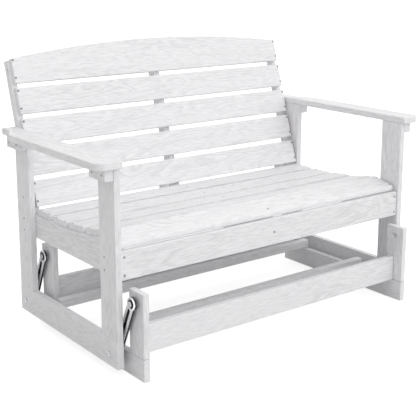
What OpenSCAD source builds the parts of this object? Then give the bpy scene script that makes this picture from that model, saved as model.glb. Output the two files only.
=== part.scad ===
// Two-seat glider bench of poly lumber boards. The seat, back, armrests and legs are one body that
// hangs on four steel glide arms from the posts of a fixed base. It is drawn pulled back.
// X runs to the sitter's left, which is the viewer's right, Y runs to the back and Z runs up.

/* [Side frames] */
// Clear width between the left and the right legs
inner_w = 1156; // [900:2:1500]
// Thickness of the legs, rails, posts and armrests
board_t = 22; // [20:0.5:26]
// Width of each leg, front to back
leg_w = 88; // [76:1:100]
// Height of the leg tops above the underside of the bottom rail
leg_top = 601; // [560:1:680]
// Height of the bottom rail that joins the two legs of a side
bottom_rail_h = 85; // [78:1:95]
// Distance from the front pivot to the front end of the bottom rail
rail_front_reach = 47.5; // [40:0.5:60]
// Distance from the rear pivot to the rear end of the bottom rail
rail_rear_reach = 32.5; // [26:0.5:45]
// Height of the lower pivots above the underside of the bottom rail
pivot_up = 36.7; // [30:0.1:42]

/* [Armrests] */
// Width of the armrest at the front
armrest_w = 83; // [70:1:100]
// Width of the narrow tail beside the back
armrest_tail_w = 50; // [40:1:60]
// Length of the armrest
armrest_l = 670; // [640:1:720]
// Overhang of the armrest in front of the front leg
armrest_nose = 15; // [5:1:40]
// Length of the full-width stretch before the outer edge turns in
armrest_wide_l = 550; // [500:1:580]
// Length of the slanted stretch of the outer edge
armrest_slant_l = 63; // [40:1:80]
// Corner radius at the armrest's outer front corner
armrest_r = 32; // [10:1:40]
// Thickness of the cleat under the armrest, across the bench
cleat_t = 29.5; // [20:0.5:40]
// Height of the cleat
cleat_h = 36; // [30:1:60]

/* [Seat] */
// Height of the seat rails' underside above the underside of the bottom rail
seat_up = 266; // [262:1:300]
// Height of a seat rail under the rear slats
seat_rail_h = 78; // [70:1:95]
// Length of the seat rails behind the apron
seat_rail_l = 618; // [600:1:660]
// Thickness of the centre seat rail and of the centre upright
centre_t = 25; // [20:1:32]
// Thickness of the seat and back slats
slat_t = 20; // [17:0.5:24]
// Width of a slat
slat_w = 88; // [80:0.5:92]
// Width of the front seat slat
front_slat_w = 96; // [88:0.5:98]
// Radius on the long edges of the slats
slat_r = 5; // [2:0.5:8]
// Distance from a slat's end to the leg beside it
slat_end_gap = 6.5; // [4:0.5:20]
// Centre to centre distance of the seat slats
seat_pitch = 104; // [100:0.5:106]
// Centre to centre distance of the two front seat slats
front_pitch = 110; // [108:0.5:113]
// Distance from the front of the front leg to the centre of the rear seat slat
rear_slat_y = 485; // [478:1:490]
// Fall of the front slat towards the front, in degrees
front_fall = 12.5; // [6:0.5:14]
// Rise of the second slat towards the front, in degrees
second_rise = 10; // [6:0.5:12]
// Rise of the third slat towards the front, in degrees
third_rise = 5; // [2:0.5:7]
// Height of the front slat's centre above the rear slats
front_lift = 20; // [16:0.5:26]
// Height of the second slat's centre above the rear slats
second_lift = 18; // [14:0.5:20]
// Height of the third slat's centre above the rear slats
third_lift = 6; // [4:0.5:8]
// Distance from the front of the legs to the front of the apron
apron_set = 4.5; // [0:0.5:6]
// Gap between the apron and the front slat over it
apron_gap = 1; // [0.3:0.1:4]

/* [Back] */
// Lean of the back from upright, in degrees
back_lean = 17.4; // [10:0.2:22]
// Centre to centre distance of the back slats along the back
back_pitch = 103.3; // [98:0.1:112]
// Height of the lowest back slat's lower edge above the seat
back_gap = 8; // [7:0.5:20]
// Distance from the rear seat slat to the front of the back
back_set = 1; // [1:0.5:6]
// Height of the top slat at its ends
crest_end_h = 84; // [70:1:100]
// Rise of the arch from the ends of the top slat to its middle
crest_rise = 40; // [10:1:60]
// Depth of the outer uprights behind the slats
upright_d = 30; // [26:1:40]
// Depth of the centre upright behind the slats
centre_upright_d = 37; // [30:1:45]
// Distance of the outer uprights' tops below the ends of the top slat
upright_short = 2; // [0:1:30]
// Distance of the centre upright's top below the middle of the arch
centre_short = 15; // [5:1:50]
// Radius of the hole in the outer face of each outer upright
upright_hole_r = 3.5; // [2:0.5:5]
// Depth of that hole
upright_hole_depth = 12; // [6:1:18]
// Distance of that hole below the top of its upright
upright_hole_down = 31; // [20:1:45]
// Distance of that hole behind the slats
upright_hole_back = 12; // [9:1:16]

/* [Base] */
// Gap between the base and the legs beside it, which holds the arms
side_gap = 23; // [21:0.1:24]
// Height of the base's side rails
base_rail_h = 70.5; // [60:0.5:90]
// Width of the base's posts, front to back
post_w = 77; // [70:1:84]
// Height of the posts above the side rails
post_h = 198.5; // [197:0.5:203]
// Height of the front and rear rails of the base
cross_h = 89; // [80:1:100]
// Distance from the post's middle to the far face of each cross rail
cross_set = 1.5; // [0:0.5:10]
// Centre to centre distance of the front and rear posts
pivot_span = 540; // [536:1:548]
// Distance of the upper pivots below the post tops
pivot_down = 34; // [32:0.5:36]

/* [Glide arms] */
// Distance between the two pivots of an arm
arm_len = 189; // [186:0.5:190]
// Angle of the arms from hanging straight down, as drawn, in degrees
swing_back = 25; // [24:0.2:25.4]
// Thickness of an arm
arm_t = 10; // [8:0.5:10.5]
// Radius of the eye at each end of an arm
eye_r = 20; // [17:0.5:22]
// Width of the arm between its eyes
shank_w = 30; // [24:0.5:34]
// Width of each of the two ribs along the shank
rib_w = 7; // [5:0.5:9]
// Depth of the channel between the ribs
channel_depth = 4; // [2:0.5:6]
// Radius of the round recess in each eye
recess_r = 14.5; // [13:0.5:15.5]
// Depth of the recess in each eye
recess_depth = 2.5; // [1:0.5:4]
// Outer radius of the bushing in each eye
bushing_r = 8; // [7:0.5:9]

/* [Stretchers] */
// Width of a stretcher, front to back
stretcher_w = 30; // [22:1:36]
// Height of a stretcher
stretcher_h = 31; // [18:0.5:40]
// Gap between the front stretcher and the posts ahead of it
front_stretcher_gap = 131; // [40:1:170]
// Gap between the rear stretcher and the posts behind it
rear_stretcher_gap = 11; // [9:1:80]

/* [Pivot bolts] */
// Radius of the pivot bolts
bolt_r = 5; // [4:0.1:5.5]
// Running clearance between a bolt and its bushing, on the radius
bolt_play = 0.05; // [0.02:0.01:0.1]
// Side play of an arm on each of its faces
arm_play = 0.15; // [0.1:0.05:0.3]
// Thickness of the spacer between an arm and the board that carries it
spacer_t = 7.35; // [4.5:0.05:9]
// Thickness of the hexagonal bolt head at the upper pivots and of the nut at the lower pivots
thin_head_h = 4; // [3:0.1:4.2]
// Width across the corners of the hexagons
hex_d = 18; // [15:0.5:19]
// Height of the nuts inside the posts
nut_h = 8; // [5:0.5:10]
// Radius of the round heads outside the bottom rails
round_head_r = 9; // [7.5:0.5:12]
// Height of the round heads
round_head_h = 4; // [3:0.5:6]
// Length of bolt that stands out of a nut
bolt_tip = 2; // [1:0.5:4]

/* [Screws] */
// Radius of a screw head
screw_head_r = 4; // [3:0.1:5]
// Depth of a screw head below the surface
screw_head_h = 2.5; // [1.5:0.1:4]
// Radius of a screw's shank
screw_r = 2.2; // [1.6:0.1:2.6]
// Length of a screw through a slat or a board
screw_l = 38; // [32:1:40]
// Length of a screw through a cleat
long_screw_l = 46; // [44:1:48]
// Distance of the seat screws from the slat's long edges
seat_screw_edge = 16; // [12:1:20]
// Distance of the front slat's centre screw from the middle of the slat
front_screw_set = 24; // [0:1:28]
// Height of the lower screw in a back slat above its lower edge
back_screw_low = 18; // [10:1:24]
// Height of the upper screw in a back slat above its lower edge
back_screw_high = 78; // [64:1:80]
// Height of the lower leg screw above the underside of the seat rail
leg_screw_low = 23; // [15:1:30]
// Height of the upper leg screw above the underside of the seat rail
leg_screw_high = 62; // [50:1:65]
// Distance of the front leg's screws from the front of the leg
leg_screw_y = 63; // [50:1:70]
// Height of the upright's screw above the seat
upright_screw_up = 36; // [30:1:60]
// Distance of the cleat screws from the ends of the cleat
cleat_screw_edge = 18; // [12:1:26]
// Height of the lower apron screw above the apron's lower edge
apron_screw_low = 15; // [10:1:25]
// Height of the upper apron screw above the apron's lower edge
apron_screw_high = 70; // [55:1:72]
// Height of the middle apron screw above the apron's lower edge
apron_screw_mid = 43; // [30:1:60]

/* [Hidden] */

// Facets of round pieces
round_fn = 48;
// Steps in a rounded corner and in the arch
corner_steps = 6;
arch_steps = 48;
// Overlap of cutting shapes past the faces that they cut
cut = 1;
hex_sides = 6;
half_turn = 180;
quarter = 90;

lumber = "whitesmoke";
steel = "silver";
screw_grey = "dimgray";

// Places across the bench, on the side where X is positive
leg_x = inner_w / 2;
outer_x = leg_x + board_t;
base_x = leg_x - side_gap;
post_in_x = base_x - board_t;
arm_x = base_x + spacer_t + arm_play;
lower_spacer_t = leg_x - arm_x - arm_t - arm_play;
slat_l = inner_w - 2 * slat_end_gap;
side_screw_x = leg_x - board_t / 2;

// Places along the bench, counted from the front of the base
front_pivot_y = post_w / 2;
rear_pivot_y = front_pivot_y + pivot_span;
base_l = pivot_span + post_w;
hang_y = arm_len * sin(swing_back);
leg_y = front_pivot_y + hang_y - rail_front_reach;
side_l = rail_front_reach + pivot_span + rail_rear_reach;
rear_leg_y = leg_y + side_l - leg_w;
apron_y = leg_y + apron_set;
seat_rail_y = apron_y + board_t;

// Heights
post_top = base_rail_h + post_h;
upper_z = post_top - pivot_down;
lower_z = upper_z - arm_len * cos(swing_back);
rail_z = lower_z - pivot_up;
seat_under_z = rail_z + seat_up;
seat_z = seat_under_z + seat_rail_h + slat_t;
armrest_z = rail_z + leg_top;

// Seat slats, counted from the rear: tilt, height above the rear slats, width and place of each
seat_count = 5;
seat_front = seat_count - 1;
seat_tilt = [0, 0, third_rise, second_rise, -front_fall];
seat_lift = [0, 0, third_lift, second_lift, front_lift];
function seat_w(i) = i == seat_front ? front_slat_w : slat_w;
function seat_y(i) = leg_y + rear_slat_y - seat_pitch * min(i, seat_front - 1)
  - (i == seat_front ? front_pitch : 0);

// Lower corner of a seat slat's section: end is 1 for its rear corner and -1 for its front one
function seat_under(i, end) = [
  seat_y(i) + end * seat_w(i) / 2 * cos(seat_tilt[i]) - slat_t * sin(seat_tilt[i]),
  seat_z + seat_lift[i] - end * seat_w(i) / 2 * sin(seat_tilt[i]) - slat_t * cos(seat_tilt[i])
];
apron_top = seat_under(seat_front, -1)[1] - apron_gap;
apron_h = apron_top - seat_under_z;

// The back's own frame starts at the lower front edge of its lowest slat
back_count = 5;
back_y = seat_y(0) + slat_w / 2 + back_set;
back_z = seat_z + back_gap;
crest_u = (back_count - 1) * back_pitch;
crest_end_u = crest_u + crest_end_h;
crest_mid_u = crest_end_u + crest_rise;
crest_arc_r = (pow(slat_l / 2, 2) + pow(crest_rise, 2)) / (2 * crest_rise);
centre_top_u = crest_mid_u - centre_short;
// Where a level plane at height z meets the back's frame, at a depth v behind the slats' faces
function level_u(z, v) = (z - back_z + v * sin(back_lean)) / cos(back_lean);

// The bench's middle, front to back, is the middle of all that it covers
rearmost_y = back_y + centre_top_u * sin(back_lean)
  + (slat_t + centre_upright_d) * cos(back_lean);
shift_y = -rearmost_y / 2;

echo(shift_y = shift_y, upper_z = upper_z, lower_z = lower_z, front_pivot = front_pivot_y + shift_y);
echo(rear_pivot = rear_pivot_y + shift_y, hang_y = hang_y, base_x = base_x, arm_x = arm_x);

// Points of a rectangle with rounded corners, from the origin to w and h
function rounded(w, h, r) = let (centres = [[w - r, r], [w - r, h - r], [r, h - r], [r, r]]) [
  for (c = [0 : len(centres) - 1])
    for (s = [0 : corner_steps])
      let (a = (c - 1) * quarter + s * quarter / corner_steps)
        centres[c] + r * [cos(a), sin(a)]
];

module placed() translate([0, shift_y, 0]) children();

// Turns what is drawn for the positive side over to the other side
module on_side(side) mirror([side < 0 ? 1 : 0, 0, 0]) children();

module both_sides() for (side = [-1, 1]) on_side(side) children();

// Sweeps a section drawn with front to back as x and up as y across the bench
module across(length) rotate([quarter, 0, quarter]) linear_extrude(length, center = true) children();

// How far a screw's head reaches out of its board: nothing in the piece, a little in its cutting shape
$past = 0;

// A board, the first child, with the screws and holes in the other children cut out of it
module bored() difference() {
  children(0);
  past_faces() children([1 : $children - 1]);
}

module past_faces() {
  $past = cut;
  children();
}

// A flush-headed screw that goes down from the origin
module screw(length) {
  translate([0, 0, -screw_head_h]) cylinder(h = screw_head_h + $past, r = screw_head_r, $fn = round_fn / 2);
  translate([0, 0, -length]) cylinder(h = length - screw_head_h, r = screw_r, $fn = round_fn / 2);
}

// The same screw driven in from the positive side
module side_screw(length) rotate([0, quarter, 0]) screw(length);

// The same screw driven in from the front
module front_screw(length) rotate([quarter, 0, 0]) screw(length);

// A pin along X from one place to another
module cross_pin(x0, x1, r) translate([x0, 0, 0]) rotate([0, quarter, 0]) cylinder(h = x1 - x0, r = r, $fn = round_fn);

module hexagon(x0, x1) translate([x0, 0, 0]) rotate([0, quarter, 0]) cylinder(h = x1 - x0, d = hex_d, $fn = hex_sides);

// Base
module base_rail(side) color(lumber) placed() on_side(side)
  translate([post_in_x, 0, 0]) cube([board_t, base_l, base_rail_h]);

module post(side, y) color(lumber) placed() on_side(side) difference() {
  translate([post_in_x, y - post_w / 2, base_rail_h]) cube([board_t, post_w, post_h]);
  translate([0, y, upper_z]) cross_pin(post_in_x - cut, base_x + cut, bolt_r);
}

module cross_rail(y) color(lumber) placed()
  translate([-post_in_x, y, base_rail_h]) cube([2 * post_in_x, board_t, cross_h]);

// A stretcher lies on both side rails of the base
module stretcher(y) color(lumber) placed()
  translate([-base_x, y, base_rail_h]) cube([2 * base_x, stretcher_w, stretcher_h]);

module at_upper_pivots() placed() both_sides()
  for (y = [front_pivot_y, rear_pivot_y]) translate([0, y, upper_z]) children();

module upper_bolts() color(steel) at_upper_pivots() {
  hexagon(arm_x + arm_t + arm_play, arm_x + arm_t + arm_play + thin_head_h);
  cross_pin(post_in_x - nut_h - bolt_tip, arm_x + arm_t + arm_play, bolt_r);
}

module upper_nuts() color(steel) at_upper_pivots() difference() {
  hexagon(post_in_x - nut_h, post_in_x);
  cross_pin(post_in_x - nut_h - cut, post_in_x + cut, bolt_r);
}

module upper_spacers() color(steel) at_upper_pivots() difference() {
  cross_pin(base_x, base_x + spacer_t, bushing_r);
  cross_pin(base_x - cut, base_x + spacer_t + cut, bolt_r);
}

// Glide arm with its upper pivot at the origin
module arm_solid() rotate([swing_back, 0, 0]) difference() {
  union() {
    cross_pin(arm_x, arm_x + arm_t, eye_r);
    translate([0, 0, -arm_len]) cross_pin(arm_x, arm_x + arm_t, eye_r);
    translate([arm_x, -shank_w / 2, -arm_len]) cube([arm_t, shank_w, arm_len]);
  }
  for (z = [0, -arm_len]) translate([0, 0, z]) {
    cross_pin(arm_x - cut, arm_x + arm_t + cut, bushing_r);
    cross_pin(arm_x + arm_t - recess_depth, arm_x + arm_t + cut, recess_r);
  }
  translate([arm_x + arm_t - channel_depth, -shank_w / 2 + rib_w, -arm_len + eye_r])
    cube([channel_depth + cut, shank_w - 2 * rib_w, arm_len - 2 * eye_r]);
}

module glide_arm(side, y) color(steel) placed() on_side(side) translate([0, y, upper_z]) arm_solid();

module bushings(side, y) color(screw_grey) placed() on_side(side) translate([0, y, upper_z])
  for (end = [0, 1]) translate([0, end * hang_y, end * (lower_z - upper_z)]) difference() {
    cross_pin(arm_x, arm_x + arm_t, bushing_r);
    cross_pin(arm_x - cut, arm_x + arm_t + cut, bolt_r + bolt_play);
  }

module at_lower_pivots() placed() both_sides()
  for (y = [front_pivot_y, rear_pivot_y]) translate([0, y + hang_y, lower_z]) children();

module lower_bolts() color(steel) at_lower_pivots() {
  translate([outer_x, 0, 0]) rotate([0, quarter, 0])
    cylinder(h = round_head_h, r1 = round_head_r, r2 = round_head_r - round_head_h / 2, $fn = round_fn);
  cross_pin(arm_x - arm_play - thin_head_h, outer_x, bolt_r);
}

module lower_nuts() color(steel) at_lower_pivots() difference() {
  hexagon(arm_x - arm_play - thin_head_h, arm_x - arm_play);
  cross_pin(arm_x - arm_play - thin_head_h - cut, arm_x - arm_play + cut, bolt_r);
}

module lower_spacers() color(steel) at_lower_pivots() difference() {
  cross_pin(leg_x - lower_spacer_t, leg_x, bushing_r);
  cross_pin(leg_x - lower_spacer_t - cut, leg_x + cut, bolt_r);
}

// Screws of the side frames, on the positive side, where each goes in
module cleat_screws(y) for (off = [cleat_screw_edge, leg_w - cleat_screw_edge])
  translate([outer_x + cleat_t, y + off, armrest_z - cleat_h / 2]) side_screw(long_screw_l);

module leg_screws(y) for (up = [leg_screw_low, leg_screw_high])
  translate([outer_x, y, seat_under_z + up]) side_screw(screw_l);

module upright_screw() {
  z = seat_z + upright_screw_up;
  v = slat_t + upright_d / 2;
  u = level_u(z, v);
  translate([outer_x, back_y + u * sin(back_lean) + v * cos(back_lean), z]) side_screw(screw_l);
}

front_leg_screw_y = leg_y + leg_screw_y;
rear_leg_screw_y = rear_leg_y + leg_w / 2;

module side_screws() {
  cleat_screws(leg_y);
  cleat_screws(rear_leg_y);
  leg_screws(front_leg_screw_y);
  leg_screws(rear_leg_screw_y);
  upright_screw();
}

module frame_screws() color(screw_grey) placed() both_sides() side_screws();

// Side frames
module bottom_rail(side) color(lumber) placed() on_side(side) bored() {
  translate([leg_x, leg_y, rail_z]) cube([board_t, side_l, bottom_rail_h]);
  for (y = [front_pivot_y, rear_pivot_y])
    translate([0, y + hang_y, lower_z]) cross_pin(leg_x - cut, outer_x + cut, bolt_r);
}

module leg(y) translate([leg_x, y, rail_z + bottom_rail_h]) cube([board_t, leg_w, leg_top - bottom_rail_h]);

module front_leg(side) color(lumber) placed() on_side(side) bored() {
  leg(leg_y);
  cleat_screws(leg_y);
  leg_screws(front_leg_screw_y);
}

module rear_leg(side) color(lumber) placed() on_side(side) bored() {
  leg(rear_leg_y);
  cleat_screws(rear_leg_y);
  leg_screws(rear_leg_screw_y);
  upright_screw();
}

module cleat(side, y) color(lumber) placed() on_side(side) bored() {
  translate([outer_x, y, armrest_z - cleat_h]) cube([cleat_t, leg_w, cleat_h]);
  cleat_screws(y);
}

// Armrest outline seen from above, from its inner front corner
armrest_outline = concat(
  [[0, armrest_l], [0, 0]],
  [for (s = [0 : corner_steps]) let (a = -quarter + s * quarter / corner_steps)
    [armrest_w - armrest_r + armrest_r * cos(a), armrest_r + armrest_r * sin(a)]],
  [[armrest_w, armrest_wide_l], [armrest_tail_w, armrest_wide_l + armrest_slant_l], [armrest_tail_w, armrest_l]]
);

module armrest(side) color(lumber) placed() on_side(side)
  translate([leg_x, leg_y - armrest_nose, armrest_z]) linear_extrude(board_t) polygon(armrest_outline);

// Seat
module at_seat_slat(i) translate([0, seat_y(i), seat_z + seat_lift[i]]) rotate([-seat_tilt[i], 0, 0]) children();

module slat_side_screws(i) at_seat_slat(i)
  for (off = [seat_w(i) / 2 - seat_screw_edge, seat_screw_edge - seat_w(i) / 2])
    translate([side_screw_x, off, 0]) screw(screw_l);

module slat_centre_screw(i) at_seat_slat(i)
  translate([0, i == seat_front ? -front_screw_set : 0, 0]) screw(screw_l);

module seat_slat_screws(i) {
  both_sides() slat_side_screws(i);
  slat_centre_screw(i);
}

module seat_screws() color(screw_grey) placed() for (i = [0 : seat_front]) seat_slat_screws(i);

module seat_slat(i) color(lumber) placed() bored() {
  at_seat_slat(i) across(slat_l) translate([-seat_w(i) / 2, -slat_t]) polygon(rounded(seat_w(i), slat_t, slat_r));
  seat_slat_screws(i);
}

// Seat rail section: its top meets the underside of every slat
rail_rear_y = seat_rail_y + seat_rail_l;
rail_outline = concat(
  [[seat_rail_y - seat_rail_l, seat_under_z], [rail_rear_y, seat_under_z], [rail_rear_y, seat_z - slat_t]],
  [for (i = [0 : seat_front]) for (end = [1, -1]) seat_under(i, end)],
  [[seat_rail_y - seat_rail_l, seat_under(seat_front, -1)[1]]]
);

module rail_section() intersection() {
  polygon(rail_outline);
  translate([seat_rail_y, seat_under_z]) square([seat_rail_l, armrest_z - seat_under_z]);
}

module apron_side_screws() for (up = [apron_screw_low, apron_screw_high])
  translate([side_screw_x, apron_y, seat_under_z + up]) front_screw(screw_l);

module apron_centre_screw() translate([0, apron_y, seat_under_z + apron_screw_mid]) front_screw(screw_l);

module apron_screws() color(screw_grey) placed() {
  both_sides() apron_side_screws();
  apron_centre_screw();
}

module seat_rail(side) color(lumber) placed() on_side(side) bored() {
  translate([side_screw_x, 0, 0]) across(board_t) rail_section();
  for (i = [0 : seat_front]) slat_side_screws(i);
  apron_side_screws();
  leg_screws(front_leg_screw_y);
  leg_screws(rear_leg_screw_y);
}

module seat_rail_centre() color(lumber) placed() bored() {
  across(centre_t) rail_section();
  for (i = [0 : seat_front]) slat_centre_screw(i);
  apron_centre_screw();
}

module apron() color(lumber) placed() bored() {
  translate([-leg_x, apron_y, seat_under_z]) cube([inner_w, board_t, apron_h]);
  both_sides() apron_side_screws();
  apron_centre_screw();
}

// Back, drawn in its own frame: x across, y behind the slats' faces, z up along the back
module at_back() translate([0, back_y, back_z]) rotate([-back_lean, 0, 0]) children();

function back_u(k) = k * back_pitch;

module back_column_screws(k, x) at_back() for (up = [back_screw_low, back_screw_high])
  translate([x, 0, back_u(k) + up]) front_screw(screw_l);

module back_slat_screws(k) for (x = [-side_screw_x, side_screw_x]) back_column_screws(k, x);

module back_screws() color(screw_grey) placed() for (k = [0 : back_count - 1]) back_slat_screws(k);

module back_slat(k) color(lumber) placed() bored() {
  at_back() across(slat_l) translate([0, back_u(k)]) polygon(rounded(slat_t, slat_w, slat_r));
  back_slat_screws(k);
}

// Outline of the top slat seen from the front, with its arched upper edge
crest_outline = concat(
  [[-slat_l / 2, crest_u], [slat_l / 2, crest_u]],
  [for (s = [0 : arch_steps]) let (x = slat_l / 2 - s * slat_l / arch_steps)
    [x, crest_mid_u - crest_arc_r + sqrt(pow(crest_arc_r, 2) - pow(x, 2))]]
);

module crest_slat() color(lumber) placed() bored() {
  at_back() intersection() {
    translate([0, slat_t, 0]) rotate([quarter, 0, 0]) linear_extrude(slat_t) polygon(crest_outline);
    across(slat_l) translate([0, crest_u]) polygon(rounded(slat_t, crest_end_h + crest_rise + slat_w, slat_r));
  }
  back_slat_screws(back_count - 1);
}

// Section of an upright that stands on the seat rail, in the back's frame
module upright_section(depth, top_u) {
  foot_z = seat_z - slat_t;
  polygon([
    [slat_t, level_u(foot_z, slat_t)],
    [slat_t + depth, level_u(foot_z, slat_t + depth)],
    [slat_t + depth, top_u],
    [slat_t, top_u]
  ]);
}

// Where a hole goes into the outer face of an outer upright, near its top
module upright_hole() at_back()
  translate([0, slat_t + upright_hole_back, crest_end_u - upright_short - upright_hole_down])
    cross_pin(leg_x - upright_hole_depth, leg_x + cut, upright_hole_r);

module upright(side) color(lumber) placed() on_side(side) bored() {
  at_back() translate([side_screw_x, 0, 0]) across(board_t)
    upright_section(upright_d, crest_end_u - upright_short);
  for (k = [0 : back_count - 1]) back_column_screws(k, side_screw_x);
  upright_screw();
  upright_hole();
}

module upright_centre() color(lumber) placed()
  at_back() across(centre_t) upright_section(centre_upright_d, centre_top_u);

front_cross_y = front_pivot_y - cross_set;
rear_cross_y = rear_pivot_y + cross_set - board_t;
front_stretcher_y = front_pivot_y + post_w / 2 + front_stretcher_gap;
rear_stretcher_y = rear_pivot_y - post_w / 2 - rear_stretcher_gap - stretcher_w;

base_rail(-1);  // base_rail_left
base_rail(1);  // base_rail_right
post(-1, front_pivot_y);  // post_front_left
post(1, front_pivot_y);  // post_front_right
post(-1, rear_pivot_y);  // post_rear_left
post(1, rear_pivot_y);  // post_rear_right
cross_rail(front_cross_y);  // base_front_rail
cross_rail(rear_cross_y);  // base_rear_rail
stretcher(front_stretcher_y);  // stretcher_front
stretcher(rear_stretcher_y);  // stretcher_rear
upper_bolts();
upper_nuts();
upper_spacers();
glide_arm(-1, front_pivot_y);  // arm_front_left
glide_arm(1, front_pivot_y);  // arm_front_right
glide_arm(-1, rear_pivot_y);  // arm_rear_left
glide_arm(1, rear_pivot_y);  // arm_rear_right
bushings(-1, front_pivot_y);  // bushings_front_left
bushings(1, front_pivot_y);  // bushings_front_right
bushings(-1, rear_pivot_y);  // bushings_rear_left
bushings(1, rear_pivot_y);  // bushings_rear_right
bottom_rail(-1);  // bottom_rail_left
bottom_rail(1);  // bottom_rail_right
front_leg(-1);  // front_leg_left
front_leg(1);  // front_leg_right
rear_leg(-1);  // rear_leg_left
rear_leg(1);  // rear_leg_right
cleat(-1, leg_y);  // cleat_front_left
cleat(1, leg_y);  // cleat_front_right
cleat(-1, rear_leg_y);  // cleat_rear_left
cleat(1, rear_leg_y);  // cleat_rear_right
armrest(-1);  // armrest_left
armrest(1);  // armrest_right
seat_rail(-1);  // seat_rail_left
seat_rail_centre();
seat_rail(1);  // seat_rail_right
apron();
seat_slat(0);  // seat_slat_1
seat_slat(1);  // seat_slat_2
seat_slat(2);  // seat_slat_3
seat_slat(3);  // seat_slat_4
seat_slat(4);  // seat_slat_5
upright(-1);  // upright_left
upright_centre();
upright(1);  // upright_right
back_slat(0);  // back_slat_1
back_slat(1);  // back_slat_2
back_slat(2);  // back_slat_3
back_slat(3);  // back_slat_4
crest_slat();  // back_slat_5
lower_bolts();
lower_nuts();
lower_spacers();
seat_screws();
back_screws();
apron_screws();
frame_screws();
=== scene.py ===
"""White two-seat glider bench of poly lumber boards, pulled back on its four steel glide arms."""
import math

import bpy
from mathutils import Matrix, Vector


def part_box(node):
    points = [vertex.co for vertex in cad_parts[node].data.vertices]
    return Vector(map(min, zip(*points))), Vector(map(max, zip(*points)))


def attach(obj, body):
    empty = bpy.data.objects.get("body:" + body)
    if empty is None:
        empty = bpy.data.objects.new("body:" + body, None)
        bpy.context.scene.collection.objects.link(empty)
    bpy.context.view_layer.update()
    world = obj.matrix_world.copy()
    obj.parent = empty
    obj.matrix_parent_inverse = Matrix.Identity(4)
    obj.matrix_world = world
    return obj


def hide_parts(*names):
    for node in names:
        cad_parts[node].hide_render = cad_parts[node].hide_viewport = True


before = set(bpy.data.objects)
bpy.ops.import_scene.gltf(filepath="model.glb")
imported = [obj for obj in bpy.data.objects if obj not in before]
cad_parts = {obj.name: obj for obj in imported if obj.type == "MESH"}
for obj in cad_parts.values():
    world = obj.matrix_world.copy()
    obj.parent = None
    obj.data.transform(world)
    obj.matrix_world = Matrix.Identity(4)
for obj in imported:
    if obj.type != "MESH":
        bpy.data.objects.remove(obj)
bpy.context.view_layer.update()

ACROSS, ALONG, UP = 0, 1, 2
HAIR = 1e-5

# Board stock, in metres
BOARD_T = 0.022
SLAT_T = 0.020
SLAT_W = 0.088
FRONT_SLAT_W = 0.096
CENTRE_T = 0.025
SLAT_HALF = 0.5715
LEG_X = 0.578
OUTER_X = 0.600
SCREW_X = 0.567

# Radii that the boards' edges come out of the extruder with, and the touch taken off their sawn ends
BOARD_EDGE = 0.0024
SLAT_EDGE = 0.0028
NOSE_TOP_EDGE = 0.012
NOSE_UNDER_EDGE = 0.006
ARMREST_EDGE = 0.003
SAWN_EDGE = 0.0010
UPRIGHT_EDGE = 0.0026
RAIL_TOP_EDGE = 0.0008
TAIL_EDGE = 0.003
# How many faces each kind of rounding is made of
EDGE_STEPS = 5
NOSE_UNDER_STEPS = 10
TAIL_STEPS = 3
SAWN_STEPS = 2
# What each square board is planed down by, which leaves fine dark joints between neighbours
PLANED = 0.0008
# The same for the legs and bottom rails, whose joints hardly show, with the radii of their edges and ends
CLOSE_PLANED = 0.0001
CLOSE_EDGE = 0.0008
CLOSE_SAWN_EDGE = 0.0003

# Seat: centre of each slat's top from the rear to the front, its rise towards the front, and the rails
SEAT_Z = 0.391
SEAT_UNDER_Z = 0.293
SEAT_Y = [0.15016, 0.04616, -0.05784, -0.16184, -0.27184]
SEAT_LIFT = [0, 0, 0.006, 0.018, 0.020]
SEAT_RISE = [0, 0, 5, 10, -12.5]
SEAT_SLATS = len(SEAT_Y)
SEAT_SCREW_EDGE = 0.016
FRONT_SCREW_SET = 0.024
RAIL_FRONT_Y = -0.30834
RAIL_REAR_Y = 0.30966
# A seat rail's upper edges are looked for down to this below its full height
RAIL_TOP_BAND = 0.004

# Back: its own frame starts at the lower front edge of the lowest slat and leans back
BACK_Y = 0.19516
BACK_Z = 0.399
BACK_LEAN = math.radians(17.4)
BACK_PITCH = 0.1033
BACK_SLATS = 5
CREST_END = 0.084
CREST_RISE = 0.040
CREST_COLUMNS = 40
UPRIGHT_D = 0.030
UPRIGHT_TOP = 0.4952
CENTRE_D = 0.037
CENTRE_TOP = 0.5222
FOOT_BELOW = 0.06
UPRIGHT_HOLE_R = 0.0035
UPRIGHT_HOLE_DEPTH = 0.012
UPRIGHT_HOLE_DOWN = 0.031
UPRIGHT_HOLE_BACK = 0.012
# How far out the hole's drill starts, as a multiple of the outer face's distance from the middle
DRILL_PAST = 1.01

# Armrests, seen from above on the right side
ARMREST_WIDE_END = 0.20016
ARMREST_SLANT_END = 0.26316
ARMREST_TURN_IN = 0.033
ARMREST_CORNER = 0.032
CORNER_STEPS = 12
FLAT_ANGLE = math.radians(1)

# Glide arms and their bolts
ARM_LEAN = math.radians(25)
ARM_X = 0.5625
ARM_T = 0.010
ARM_L = 0.189
EYE_R = 0.020
SHANK_W = 0.030
RIB_W = 0.0085
RIB_ROUND = 0.0036
CHANNEL = 0.0055
EYE_RECESS_R = 0.0145
EYE_RECESS = 0.0030
BUSHING_R = 0.008
BORE_R = 0.00505
BOLT_R = 0.005
BOLT_TIP = 0.002
BOLT_TIP_EDGE = 0.0008
HEAD_H = 0.004
NUT_H = 0.008
THIN_NUT_H = 0.004
ARM_PLAY = 0.00015
HEX_R = 0.009
HEX_CHAMFER_IN = 2.2
HEX_CHAMFER_OUT = 0.9
BUTTON_R = 0.009
BUTTON_ROUND = 0.0028
SOCKET_R = 0.0033
SOCKET_DEPTH = 0.0022
# How far a bolt's shank runs into its head
SHANK_IN_HEX = 0.00005
SHANK_IN_BUTTON = 0.0005
STEEL_EDGE = 0.0003
ARM_EDGE = 0.0006
STEEL_STEPS = 2
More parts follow.
